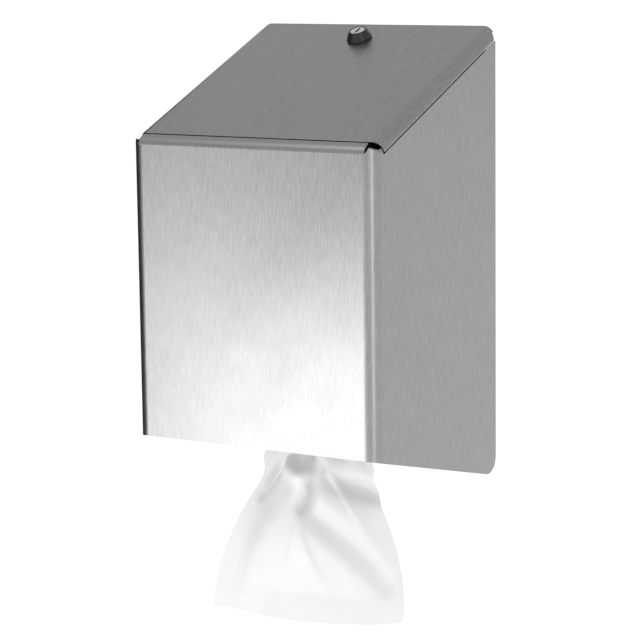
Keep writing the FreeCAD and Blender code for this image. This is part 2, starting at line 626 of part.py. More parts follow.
def make_lock_plug():
    """The parts that turn with the key: plug, cam, washer and screw."""
    key_face = "bezel_height - plug_recess"
    cam_low = f"({CAM_TOP} - cam_thick)"
    rod = lid_cylinder("plug_rod", "plug_radius", CAM_TOP, key_face)
    half_tang = "tang_side / 2"
    square = (f"-{half_tang}", half_tang)
    square_along = (f"{LOCK_ALONG} - {half_tang}", f"{LOCK_ALONG} + {half_tang}")
    tang = box("plug_tang", square, square_along, (cam_low, CAM_TOP), on_lid=True)
    slot = box("key_slot", ("-key_slot_wide / 2", "key_slot_wide / 2"),
               (f"{LOCK_ALONG} - key_slot_long / 2", f"{LOCK_ALONG} + key_slot_long / 2"),
               (f"{key_face} - key_slot_deep", f"{key_face} + {TOOL_OVERRUN}"), on_lid=True)
    screw_low = f"({cam_low} - cam_washer_thick)"
    screw_end = f"({CAM_TOP} + cam_thick)"
    screw_hole = lid_cylinder("plug_screw_hole", "cam_screw_radius", f"{cam_low} - {TOOL_OVERRUN}", screw_end)
    finished(cut("plug_solid", fuse("plug_whole", rod, tang), slot, screw_hole), "lock_plug")

    disc = lid_cylinder("cam_disc", "cam_radius", cam_low, CAM_TOP)
    arm = box("cam_arm", (0, "cam_reach"), (f"{LOCK_ALONG} - cam_radius", f"{LOCK_ALONG} + cam_radius"),
              (cam_low, CAM_TOP), on_lid=True)
    through = (f"{cam_low} - {TOOL_OVERRUN}", f"{CAM_TOP} + {TOOL_OVERRUN}")
    hole = box("cam_hole", square, square_along, through,
               on_lid=True)
    finished(cut("cam_solid", fuse("cam_whole", disc, arm), hole), "lock_cam")

    washer = lid_cylinder("cam_washer_disc", "cam_washer_radius", screw_low, cam_low)
    washer_hole = lid_cylinder("cam_washer_hole", "cam_screw_radius", f"{screw_low} - {TOOL_OVERRUN}",
                               f"{cam_low} + {TOOL_OVERRUN}")
    finished(cut("cam_washer_solid", washer, washer_hole), "cam_washer")

    shank = lid_cylinder("cam_screw_shank", "cam_screw_radius", screw_low, screw_end)
    head_low = f"({screw_low} - cam_screw_head_thick)"
    head = lid_cylinder("cam_screw_head_disc", "cam_screw_head", head_low, screw_low)
    drive_span = (f"{head_low} - {TOOL_OVERRUN}", f"{head_low} + cam_screw_head_thick / 2")
    drive = [box(f"cam_screw_drive_{index}", *spans, drive_span, on_lid=True)
             for index, spans in enumerate(cross_slots())]
    finished(cut("cam_screw_solid", fuse("cam_screw_whole", shank, head), *drive), "cam_screw")


def cross_slots():
    """The spans of the two slots of a cross drive on the lock's axis."""
    half_long, half_wide = "cam_screw_radius * 1.3", "cam_screw_radius * 0.25"
    long_across, wide_across = (f"-{half_long}", half_long), (f"-{half_wide}", half_wide)
    long_along = (f"{LOCK_ALONG} - {half_long}", f"{LOCK_ALONG} + {half_long}")
    wide_along = (f"{LOCK_ALONG} - {half_wide}", f"{LOCK_ALONG} + {half_wide}")
    return [(long_across, wide_along), (wide_across, long_along)]


# ---- nozzle and paper -----------------------------------------------------------------------------------


def make_nozzle():
    """The plastic throat that the towel is drawn through, and the ring that clamps it under the shelf."""
    outer = "(nozzle_bore + nozzle_wall)"
    throat_round = "nozzle_wall / 2"
    section = [
        ("nozzle_bore", f"-nozzle_length + {throat_round}"),
        (f"nozzle_bore + {throat_round}", "-nozzle_length"),
        (outer, "-nozzle_length"),
        (outer, 0),
        ("nozzle_flange_radius", 0),
        ("nozzle_flange_radius", "nozzle_flange_thick"),
        (f"nozzle_bore + {throat_round}", "nozzle_flange_thick"),
        ("nozzle_bore", f"nozzle_flange_thick - {throat_round}"),
    ]
    nozzle = revolve(body("nozzle_moulding"), section)
    finished(place(nozzle, 0, CENTRE_Y, SHELF_TOP), "feed_nozzle")

    top = "-shelf_gauge"
    low = f"({top} - ring_thick)"
    rim = "ring_thick / 4"
    section = [(outer, low), (f"ring_radius - {rim}", low), ("ring_radius", f"{low} + {rim}"),
               ("ring_radius", top), (outer, top)]
    blank = place(revolve(body("ring_blank"), section), 0, CENTRE_Y, SHELF_TOP)
    notches = [ring_notch(turn) for turn in range(round(number("ring_notches")))]
    finished(cut("ring_solid", blank, fuse("ring_notches", *notches)), "nozzle_ring")


def ring_notch(turn):
    """One of the finger notches, which are evenly spaced round the ring's rim."""
    angle = f"({turn} * 360deg / ring_notches)"
    reach = "(ring_radius + ring_thick / 5)"
    notch = cylinder(f"ring_notch_{turn}", "ring_thick / 2", "2 * ring_thick")
    return place(notch, f"{reach} * cos({angle})", f"{CENTRE_Y} + {reach} * sin({angle})",
                 f"{SHELF_TOP} - shelf_gauge - ring_thick * 1.5")


def make_roll():
    """The coreless roll of paper, a plain tube that stands on the nozzle's flange."""
    tube = place(cylinder("roll_tube", "roll_radius", "roll_height"), 0, CENTRE_Y, ROLL_BOTTOM)
    bore = place(cylinder("roll_bore_tool", "roll_bore", f"roll_height + 2 * {TOOL_OVERRUN}"),
                 0, CENTRE_Y, f"{ROLL_BOTTOM} - {TOOL_OVERRUN}")
    finished(cut("roll_solid", tube, bore), "paper_roll")


def make_tail():
    """The free end of the towel: gathered in the roll and the nozzle, then opening out below the cabinet."""
    levels = [
        (f"{SHELF_TOP} + tail_rope_height", 0, "tail_rope_radius", "tail_rope_depth"),
        (f"{SHELF_TOP} - nozzle_length", 0, "tail_rope_radius", "tail_rope_depth"),
        ("-screw_height - tail_neck_drop", 0, "tail_neck_half_width", "tail_neck_half_depth"),
        ("-screw_height - tail_drop", "tail_end_shift", "tail_end_half_width", "tail_end_half_depth"),
    ]
    tail = doc.addObject("Part::Feature", "tail_solid")
    tail.Shape = Part.makeLoft([oval(*level) for level in levels], True, True)
    finished(tail, "towel_tail")


def oval(level, shift, half_width, half_depth):
    """A level ellipse as a wire, its long axis along X, at a height and a shift to the right."""
    centre = Vector(number(shift), number(CENTRE_Y), number(level))
    wide, deep = Vector(number(half_width), 0, 0), Vector(0, number(half_depth), 0)
    return Part.Wire(Part.Ellipse(centre + wide, centre + deep, centre).toShape())


# ---- build, check and write -----------------------------------------------------------------------------


def check():
    """Stop if any object of the document failed or any sub-part isn't a sound solid."""
    for thing in doc.Objects:
        if "Invalid" in thing.State or "Error" in thing.State:
            raise RuntimeError(f"{thing.Label} failed: {thing.State}")
    for part in sub_parts:
        if part.Shape.isNull() or not part.Shape.isValid() or not part.Shape.Solids:
            raise RuntimeError(f"{part.Label} is not a sound solid")


def write():
    """Write each sub-part to its own file."""
    os.makedirs("parts", exist_ok=True)
    for part in sub_parts:
        part.Shape.exportStep(os.path.join("parts", f"{part.Label}.step"))
        print(f"{part.Label}: {len(part.Shape.Solids)} solid, {part.Shape.Volume / 1000:.2f} cm3")


make_body_shell()
make_back_plate()
make_shelf()
make_strike()
make_bumpers()
make_lid()
make_hinge()
make_lock_housing()
make_lock_plug()
make_nozzle()
make_roll()
make_tail()
doc.recompute()
check()
write()
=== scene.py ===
"""Looks of a wall-mounted centre-pull towel dispenser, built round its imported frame.

Each sub-assembly is a class that makes its pieces and dresses them. All lengths are in metres, in the row frame:
+Z is up, the wall is the plane Y = 0, the front panel faces -Y and +X is to the viewer's right.
"""

import json
import logging
import math
import random
from dataclasses import dataclass, field
from enum import Enum
from typing import Callable, Iterable, Optional, Union

import bpy
from mathutils import Matrix, Vector

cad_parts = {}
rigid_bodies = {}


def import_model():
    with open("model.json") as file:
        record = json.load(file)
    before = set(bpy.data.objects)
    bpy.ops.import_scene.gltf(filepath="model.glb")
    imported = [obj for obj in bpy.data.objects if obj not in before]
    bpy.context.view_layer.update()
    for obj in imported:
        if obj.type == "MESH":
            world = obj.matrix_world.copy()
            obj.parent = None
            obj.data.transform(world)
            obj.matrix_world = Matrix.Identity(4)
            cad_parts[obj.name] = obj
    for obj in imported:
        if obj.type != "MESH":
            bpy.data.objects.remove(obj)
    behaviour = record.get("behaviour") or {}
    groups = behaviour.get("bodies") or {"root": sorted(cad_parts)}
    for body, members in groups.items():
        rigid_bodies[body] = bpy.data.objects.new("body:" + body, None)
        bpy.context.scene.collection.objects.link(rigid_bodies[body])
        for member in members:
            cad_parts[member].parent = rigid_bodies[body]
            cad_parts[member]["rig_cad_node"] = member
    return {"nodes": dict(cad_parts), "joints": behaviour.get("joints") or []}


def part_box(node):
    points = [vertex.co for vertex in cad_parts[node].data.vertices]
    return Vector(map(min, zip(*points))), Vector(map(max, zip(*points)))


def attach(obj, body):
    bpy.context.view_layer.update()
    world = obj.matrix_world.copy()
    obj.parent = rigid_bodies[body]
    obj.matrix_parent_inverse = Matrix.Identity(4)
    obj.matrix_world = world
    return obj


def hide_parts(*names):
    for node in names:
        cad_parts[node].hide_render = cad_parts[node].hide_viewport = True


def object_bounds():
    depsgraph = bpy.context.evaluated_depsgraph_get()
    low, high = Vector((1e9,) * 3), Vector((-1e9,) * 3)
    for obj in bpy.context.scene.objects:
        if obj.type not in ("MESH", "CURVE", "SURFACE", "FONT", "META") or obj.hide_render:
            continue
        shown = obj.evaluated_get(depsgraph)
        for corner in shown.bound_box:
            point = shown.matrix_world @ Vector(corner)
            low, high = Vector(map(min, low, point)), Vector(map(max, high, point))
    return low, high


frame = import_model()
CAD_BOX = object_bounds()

log = logging.getLogger("towel_dispenser")

MM = 0.001
SLOPE = math.radians(23)
CABINET_LOW, CABINET_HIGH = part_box("body_shell")
CENTRE_Y = (CABINET_LOW.y + CABINET_HIGH.y) / 2


class Slot(Enum):
    """The record's material slots."""

    BRUSHED = "steel_brushed"
    MILL = "steel_mill"
    BRIGHT = "steel_bright"
    LOCK_BLACK = "lock_black"
    NOZZLE = "nozzle_plastic"
    RUBBER = "rubber_black"
    PAPER = "paper_white"


# ---- shader maths ---------------------------------------------------------------------------------------


class Wire:
    """A shader socket that can stand in a Python expression of numbers."""

    def __init__(self, bench: "Bench", socket: bpy.types.NodeSocket) -> None:
        """Wrap a socket of a bench."""
        self.bench = bench
        self.socket = socket

    def _maths(self, operation: str, left: "Value", right: "Value") -> "Wire":
        """Add a Math node.

        Args:
            operation: the node's operation.
            left: its first value.
            right: its second value.

        Returns:
            The node's result.
        """
        return self.bench.node("ShaderNodeMath", {"operation": operation}, {0: left, 1: right})

    def __add__(self, other: "Value") -> "Wire":
        """This plus other."""
        return self._maths("ADD", self, other)

    __radd__ = __add__

    def __sub__(self, other: "Value") -> "Wire":
        """This less other."""
        return self._maths("SUBTRACT", self, other)

    def __rsub__(self, other: "Value") -> "Wire":
        """Other less this."""
        return self._maths("SUBTRACT", other, self)

    def __mul__(self, other: "Value") -> "Wire":
        """This times other."""
        return self._maths("MULTIPLY", self, other)

    __rmul__ = __mul__


Value = Union[Wire, float, tuple]


class Bench:
    """The node tree of one material."""

    def __init__(self, name: str) -> None:
        """Start a material with only a Principled shader.

        Args:
            name: the material's name.
        """
        self.material = bpy.data.materials.new(name)
        self.material.use_nodes = True
        self.tree = self.material.node_tree
        self.shader = next(n for n in self.tree.nodes if n.type == "BSDF_PRINCIPLED")

    def node(self, kind: str, settings: Optional[dict] = None, inputs: Optional[dict] = None,
             output: Union[str, int] = 0) -> Wire:
        """Add any node.

        Args:
            kind: the node's type.
            settings: properties set first.
            inputs: values or links by socket name or index.
            output: the socket wanted.

        Returns:
            The wanted output.
        """
        made = self.tree.nodes.new(kind)
        for key, value in (settings or {}).items():
            setattr(made, key, value)
        for key, value in (inputs or {}).items():
            self.feed(made.inputs[key], value)
        return Wire(self, made.outputs[output])

    def feed(self, socket: bpy.types.NodeSocket, value: Value) -> None:
        """Set a socket, or link it to a wire."""
        if isinstance(value, Wire):
            self.tree.links.new(value.socket, socket)
        else:
            socket.default_value = value

    def shade(self, **values: Value) -> None:
        """Feed the Principled shader; a keyword's underscores stand for spaces."""
        for key, value in values.items():
            self.feed(self.shader.inputs[key.replace("_", " ")], value)

    def coordinates(self, turn: float = 0.0, stretch: tuple = (1, 1, 1), source: str = "Object") -> Wire:
        """Texture coordinates turned about X and then stretched.

        Args:
            turn: the angle about X.
            stretch: how much finer the pattern is on each axis.
            source: the Texture Coordinate output.

        Returns:
            The coordinates.
        """
        plain = self.node("ShaderNodeTexCoord", output=source)
        turned = self.node("ShaderNodeMapping", inputs={"Vector": plain, "Rotation": (turn, 0, 0)})
        return self.node("ShaderNodeMapping", inputs={"Vector": turned, "Scale": stretch})

    def noise(self, where: Wire, scale: float = 1.0, detail: float = 3.0, roughness: float = 0.5) -> Wire:
        """A noise pattern's value."""
        return self.node("ShaderNodeTexNoise", inputs={"Vector": where, "Scale": scale, "Detail": detail,
                                                       "Roughness": roughness})

    def blend(self, share: Value, low: tuple, high: tuple) -> Wire:
        """A colour between two, by a share from 0 to 1."""
        return self.node("ShaderNodeMix", {"data_type": "RGBA"}, {0: share, 6: (*low, 1), 7: (*high, 1)}, output=2)

    def relief(self, height: Wire, strength: float, distance: float) -> Wire:
        """A normal from a height."""
        return self.node("ShaderNodeBump", inputs={"Height": height, "Strength": strength, "Distance": distance})


# ---- finishes -------------------------------------------------------------------------------------------


@dataclass(frozen=True)
class BrushedSteel:
    """Stainless sheet with a grain in one direction.

    Args:
        name: the material's name.
        tone: its grey.
        grain_turn: turns the grain from upright, about X.
        roughness: the mean roughness.
        streak: how strong the grain's lines are.
    """

    name: str
    tone: float = 0.33
    grain_turn: float = 0.0
    roughness: float = 0.34
    streak: float = 1.6
    line_width: float = 0.7 * MM
    line_length: float = 14 * MM

    def make(self) -> bpy.types.Material:
        """Build the material."""
        bench = Bench(self.name)
        across, along = 1 / self.line_width, 1 / self.line_length
        lines = bench.noise(bench.coordinates(self.grain_turn, (across, across, along)), detail=4, roughness=0.7)
        hair = bench.noise(bench.coordinates(self.grain_turn, (3 * across, 3 * across, 2 * along)), detail=2)
        cloud = bench.noise(bench.coordinates(), scale=24, detail=2)
        grain = lines * 0.65 + hair * 0.35
        share = grain * (1.5 * self.streak) - (0.75 * self.streak - 0.5)
        dark, light = self.tone * 0.72, self.tone * 1.28
        bench.shade(Base_Color=bench.blend(share, (dark, dark, dark * 1.01), (light, light, light * 1.015)),
                    Metallic=1.0,
                    Roughness=grain * 0.22 + cloud * 0.08 + (self.roughness - 0.15),
                    Normal=bench.relief(grain, 0.35 * self.streak, 0.05 * MM))
        return bench.material


@dataclass(frozen=True)
class PlatedSteel:
    """Bright plated or turned steel with faint scuffs."""

    name: str
    tone: float = 0.72
    roughness: float = 0.2

    def make(self) -> bpy.types.Material:
        """Build the material."""
        bench = Bench(self.name)
        scuffs = bench.noise(bench.coordinates(stretch=(1, 1, 0.3)), scale=900, detail=4, roughness=0.7)
        haze = bench.noise(bench.coordinates(), scale=160, detail=2)
        bench.shade(Base_Color=bench.blend(haze, (self.tone * 0.86,) * 3, (self.tone * 1.1,) * 3), Metallic=1.0,
                    Roughness=scuffs * 0.16 + haze * 0.08 + (self.roughness - 0.1),
                    Normal=bench.relief(scuffs, 0.08, 0.03 * MM))
        return bench.material


@dataclass(frozen=True)
class Moulded:
    """Moulded plastic or rubber with a fine grain and handling marks."""

    name: str
    tone: float
    roughness: float = 0.45
    grain: float = 0.15

    def make(self) -> bpy.types.Material:
        """Build the material."""
        bench = Bench(self.name)
        pores = bench.noise(bench.coordinates(), scale=3200, detail=3)
        marks = bench.noise(bench.coordinates(), scale=140, detail=4, roughness=0.65)
        bench.shade(Base_Color=bench.blend(marks, (self.tone * 0.8,) * 3, (self.tone * 1.35,) * 3),
                    Roughness=marks * 0.2 + (self.roughness - 0.08),
                    Normal=bench.relief(pores, self.grain, 0.04 * MM))
        return bench.material


@dataclass(frozen=True)
class CrepePaper:
    """Soft white creped paper; its creping lines run across the web and follow the sheet's own UV map."""

    name: str
    web: float = 0.203
    length: float = 0.35

    def make(self) -> bpy.types.Material:
        """Build the material."""
        bench = Bench(self.name)
        crepe = bench.noise(bench.coordinates(source="UV", stretch=(self.web * 90, self.length * 1400, 1)), detail=3)
        fibres = bench.noise(bench.coordinates(source="UV", stretch=(self.web * 1500, self.length * 900, 1)),
                             detail=4, roughness=0.7)
        cloud = bench.noise(bench.coordinates(), scale=45, detail=2)
        relief = crepe * 0.7 + fibres * 0.3
        bench.shade(Base_Color=bench.blend(cloud * 0.5 + relief * 0.5, (0.74, 0.74, 0.745), (0.86, 0.86, 0.86)),
                    Roughness=fibres * 0.1 + 0.84, Normal=bench.relief(relief, 0.35, 0.12 * MM))
        bench.shader.inputs["Sheen Weight"].default_value = 0.15
        return bench.material


@dataclass(frozen=True)
class WoundPaper:
    """The roll: fine rings on its ends where the layers show, and a soft creped outside."""

    name: str
    layer: float = 0.9 * MM

    def make(self) -> bpy.types.Material:
        """Build the material."""
        bench = Bench(self.name)
        centred = bench.node("ShaderNodeVectorMath", {"operation": "MULTIPLY"},
                             {0: bench.node("ShaderNodeMapping", inputs={
                                 "Vector": bench.node("ShaderNodeTexCoord", output="Object"),
                                 "Location": (0, -CENTRE_Y, 0)}), 1: (1, 1, 0)})
        radius = bench.node("ShaderNodeVectorMath", {"operation": "LENGTH"}, {0: centred}, output="Value")
        rings = bench.node("ShaderNodeMath", {"operation": "SINE"}, {0: radius * (2 * math.pi / self.layer)})
        crepe = bench.noise(bench.coordinates(stretch=(300, 300, 1500)), detail=3)
        cloud = bench.noise(bench.coordinates(), scale=30, detail=2)
        height = rings * 0.3 + crepe * 0.7
        bench.shade(Base_Color=bench.blend(cloud * 0.6 + crepe * 0.4, (0.82, 0.82, 0.82), (0.95, 0.95, 0.945)),
                    Roughness=crepe * 0.1 + 0.84, Normal=bench.relief(height, 0.4, 0.15 * MM))
        return bench.material


# ---- modelling by operators -----------------------------------------------------------------------------


def only(piece: bpy.types.Object) -> bpy.types.Object:
    """Make a piece the only one selected, and active."""
    for other in bpy.context.selected_objects:
        other.select_set(False)
    piece.select_set(True)
    bpy.context.view_layer.objects.active = piece
    return piece


def edited(piece: bpy.types.Object, *steps: Callable[[], object]) -> bpy.types.Object:
    """Run operators in edit mode on everything in a piece.

    Args:
        piece: the mesh.
        steps: the operators, in order.

    Returns:
        The piece.
    """
    only(piece)
    bpy.ops.object.mode_set(mode="EDIT")
    bpy.ops.mesh.select_all(action="SELECT")
    for step in steps:
        step()
    bpy.ops.object.mode_set(mode="OBJECT")
    return piece


def modified(piece: bpy.types.Object, kind: str, **settings: object) -> bpy.types.Object:
    """Add a modifier to a piece and apply it."""
    only(piece)
    modifier = piece.modifiers.new(kind.lower(), kind)
    for key, value in settings.items():
        setattr(modifier, key, value)
    bpy.ops.object.modifier_apply(modifier=modifier.name)
    return piece


def smooth(piece: bpy.types.Object, angle: float = 32.0) -> bpy.types.Object:
    """Shade a piece smooth where it turns by less than an angle in degrees, flat faces kept flat."""
    only(piece)
    bpy.ops.object.shade_smooth_by_angle(angle=math.radians(angle))
    return modified(piece, "WEIGHTED_NORMAL", keep_sharp=True, weight=80)


def refined(node: str, name: str, edge: float, segments: int = 2) -> bpy.types.Object:
    """A finer copy of a CAD node, with its faces joined and its sharp edges broken.

    Args:
        node: the CAD node.
        name: the piece's name.
        edge: the width of the broken edge.
        segments: how many faces round it.

    Returns:
        The piece, which stands for the node.
    """
    mesh = frame["nodes"][node].data.copy()
    mesh.materials.clear()
    piece = bpy.data.objects.new(name, mesh)
    bpy.context.scene.collection.objects.link(piece)
    edited(piece,
           lambda: bpy.ops.mesh.remove_doubles(threshold=0.001 * MM),
           lambda: bpy.ops.mesh.dissolve_limited(angle_limit=math.radians(0.4)))
    modified(piece, "BEVEL", width=edge, segments=segments, limit_method="ANGLE", angle_limit=math.radians(35),
             use_clamp_overlap=True, miter_outer="MITER_ARC")
    smooth(piece)
    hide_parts(node)
    return piece


def turned(name: str, section: Iterable[tuple], steps: int = 96) -> bpy.types.Object:
    """A solid of revolution about Z, spun from a closed section.

    Args:
        name: the piece's name.
        section: the section's (radius, height) corners, in order.
        steps: how many faces round.

    Returns:
        The piece, at the origin.
    """
    corners = [Vector((radius, 0, height)) for radius, height in section]
    bpy.ops.mesh.primitive_plane_add(size=MM)
    piece = bpy.context.active_object
    piece.name = name

    def draw() -> None:
        """Shrink the plane to one vertex and extrude it round the section."""
        bpy.ops.mesh.merge(type="CENTER")
        bpy.ops.transform.translate(value=corners[0])
        for here, there in zip(corners, corners[1:]):
            bpy.ops.mesh.extrude_region_move(TRANSFORM_OT_translate={"value": there - here})
        bpy.ops.mesh.select_all(action="SELECT")

    edited(piece, draw)
    mesh = piece.data
    ends = [v.index for v in mesh.vertices if sum(v.index in e.vertices for e in mesh.edges) == 1]
    mesh.edges.add(1)
    mesh.edges[-1].vertices = ends
    edited(piece,
           lambda: bpy.ops.mesh.spin(steps=steps, angle=2 * math.pi, center=(0, 0, 0), axis=(0, 0, 1)),
           lambda: bpy.ops.mesh.select_all(action="SELECT"),
           lambda: bpy.ops.mesh.remove_doubles(threshold=0.01 * MM),
           lambda: bpy.ops.mesh.normals_make_consistent(inside=False))
    return piece


def rounded(section: list, radius: float, steps: int = 3) -> list:
    """A section with every corner cut to a short curve.

    Args:
        section: closed (radius, height) corners.
        radius: how far from the corner the curve starts, limited by the sides.
        steps: points along each curve, less one.

    Returns:
        The new corners.
    """
    made = []
    count = len(section)
    for index, corner in enumerate(section):
        here = Vector(corner)
        ends = []
        for neighbour in (section[index - 1], section[(index + 1) % count]):
            side = Vector(neighbour) - here
            ends.append(here + side.normalized() * min(radius, side.length * 0.4))
        for step in range(steps + 1):
            t = step / steps
            made.append(tuple(ends[0] * (1 - t) ** 2 + here * (2 * t * (1 - t)) + ends[1] * t ** 2))
    return made


def dress(piece: bpy.types.Object, material: bpy.types.Material, body: str) -> bpy.types.Object:
    """Give a piece its material and let it ride on a body."""
    piece.data.materials.clear()
    piece.data.materials.append(material)
    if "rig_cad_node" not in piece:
        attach(piece, body)
    log.info("%s rides on %s, %d faces", piece.name, body, len(piece.data.polygons))
    return piece


# ---- sub-assemblies -------------------------------------------------------------------------------------


@dataclass
class Cabinet:
    """The fixed sheet-metal parts: wrapper, back plate, shelf, strike and bumpers."""

    edge: float = 0.22 * MM

    def build(self) -> None:
        """Make and dress every fixed steel part."""
        brushed = BrushedSteel("brushed_upright").make()
        mill = BrushedSteel("mill_sheet", tone=0.42, roughness=0.42, streak=0.6).make()
        rubber = Moulded("bumper_rubber", tone=0.03, roughness=0.8, grain=0.3).make()
        dress(refined("body_shell", "wrapper", self.edge), brushed, "cabinet")
        for node in ("back_plate", "shelf", "strike_bracket"):
            dress(refined(node, f"{node}_sheet", self.edge), mill, "cabinet")
        for node in ("lid_bumper_left", "lid_bumper_right"):
            dress(refined(node, f"{node}_button", 2 * self.edge, 3), rubber, "cabinet")


@dataclass
class LidAndHinge:
    """The lid and the piano hinge behind the lip."""

    edge: float = 0.22 * MM
    knuckle_edge: float = 0.1 * MM

    def build(self) -> None:
        """Make and dress the lid, the leaves and the pin."""
        brushed = BrushedSteel("brushed_slope", tone=0.34, grain_turn=math.pi / 2 - SLOPE).make()
        mill = BrushedSteel("hinge_steel", tone=0.45, roughness=0.38, streak=0.5, line_width=0.3 * MM).make()
        bright = PlatedSteel("pin_steel").make()
        dress(refined("lid", "lid_panel", self.edge), brushed, "lid")
        dress(refined("hinge_lid_leaf", "lid_leaf", self.knuckle_edge), mill, "lid")
        dress(refined("hinge_fixed_leaf", "fixed_leaf", self.knuckle_edge), mill, "cabinet")
        dress(refined("hinge_pin", "pin", self.knuckle_edge), bright, "cabinet")


@dataclass
class CamLock:
    """The lock at the top of the lid: a black coned bezel, a bright plug and the parts below the sheet."""

    bezel_radius: float = 11 * MM
    bezel_top: float = 7.5 * MM
    bezel_foot: float = 2.6 * MM
    bezel_height: float = 8.7 * MM
    bore: float = 6.45 * MM
    edge: float = 0.15 * MM

    def on_lid(self, piece: bpy.types.Object) -> bpy.types.Object:
        """Move a piece from the origin to the lock's axis on the lid's outer face."""
        joint = next(j for j in frame["joints"] if j["name"] == "lock_turn")
        piece.data.transform(Matrix.Translation(Vector(joint["pos_m"])) @ Matrix.Rotation(SLOPE, 4, "X"))
        return piece

    def bezel(self) -> bpy.types.Object:
        """The black bezel, with a stepped foot, a coned side and a rolled rim."""
        step = 0.5 * MM
        section = [(self.bore, 0), (self.bezel_radius, 0), (self.bezel_radius, self.bezel_foot - step),
                   (self.bezel_radius - step, self.bezel_foot), (self.bezel_top + step, self.bezel_height - step),
                   (self.bezel_top, self.bezel_height), (self.bore + step, self.bezel_height),
                   (self.bore, self.bezel_height - step)]
        piece = self.on_lid(turned("bezel_cone", rounded(section, 0.35 * MM)))
        smooth(piece, 50)
        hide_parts("lock_bezel")
        return piece

    def build(self) -> None:
        """Make and dress the lock."""
        black = Moulded("bezel_black", tone=0.014, roughness=0.3, grain=0.06).make()
        bright = PlatedSteel("lock_steel").make()
        dress(self.bezel(), black, "lid")
        for node in ("lock_barrel", "lock_washer", "lock_nut"):
            dress(refined(node, f"{node}_part", self.edge), bright, "lid")
        for node in ("lock_plug", "lock_cam", "cam_washer", "cam_screw"):
            dress(refined(node, f"{node}_part", self.edge), bright, "lock")


@dataclass
class Feed:
    """The moulded throat in the shelf and the ring that clamps it."""

    edge: float = 0.5 * MM

    def build(self) -> None:
        """Make and dress the throat and its ring."""
        plastic = Moulded("throat_plastic", tone=0.06, roughness=0.4).make()
        dress(refined("feed_nozzle", "throat", self.edge, 3), plastic, "cabinet")
        dress(refined("nozzle_ring", "clamp_ring", self.edge, 3), plastic, "cabinet")


@dataclass
class Roll:
    """The coreless roll, its layers a little uneven at both ends."""

    bore: float = 32 * MM
    layers: int = 36
    unevenness: float = 0.45 * MM
    seed: int = 5

    def build(self) -> None:
        """Make and dress the roll."""
        low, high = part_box("paper_roll")
        outer, inner = (high.x - low.x) / 2, self.bore
        draw = random.Random(self.seed)
        step = (outer - inner) / self.layers
        top, bottom = [], []
        for index in range(self.layers):
            left, right = inner + index * step, inner + (index + 0.86) * step
            rise, sink = draw.uniform(0, self.unevenness), draw.uniform(0, self.unevenness)
            top += [(left, high.z - rise), (right, high.z - rise)]
            bottom += [(left, low.z + sink), (right, low.z + sink)]
        piece = turned("wound_roll", top + bottom[::-1], steps=144)
        piece.data.transform(Matrix.Translation((0, (low.y + high.y) / 2, 0)))
        smooth(piece, 40)
        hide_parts("paper_roll")
        dress(piece, WoundPaper("wound_paper").make(), "roll")


@dataclass(frozen=True)
class Crease:
    """A fold line on the towel.

    Args:
        start: its upper end, as (x, z).
        end: its lower end.
        depth: how far the sheet moves away from the viewer; negative is a ridge.
        width: half its width.
    """

    start: tuple
    end: tuple
    depth: float
    width: float

    def at(self, x: float, z: float) -> float:
        """How far the sheet moves back at a point."""
        start, run = Vector(self.start), Vector(self.end) - Vector(self.start)
        share = max(0.0, min(1.0, (Vector((x, z)) - start).dot(run) / run.length_squared))
        off = (Vector((x, z)) - start - run * share).length / self.width
        fade = 0.35 + 0.65 * math.sin(math.pi * min(1.0, max(0.0, share * 0.8 + 0.1)))
        return self.depth * fade * math.exp(-off * off)


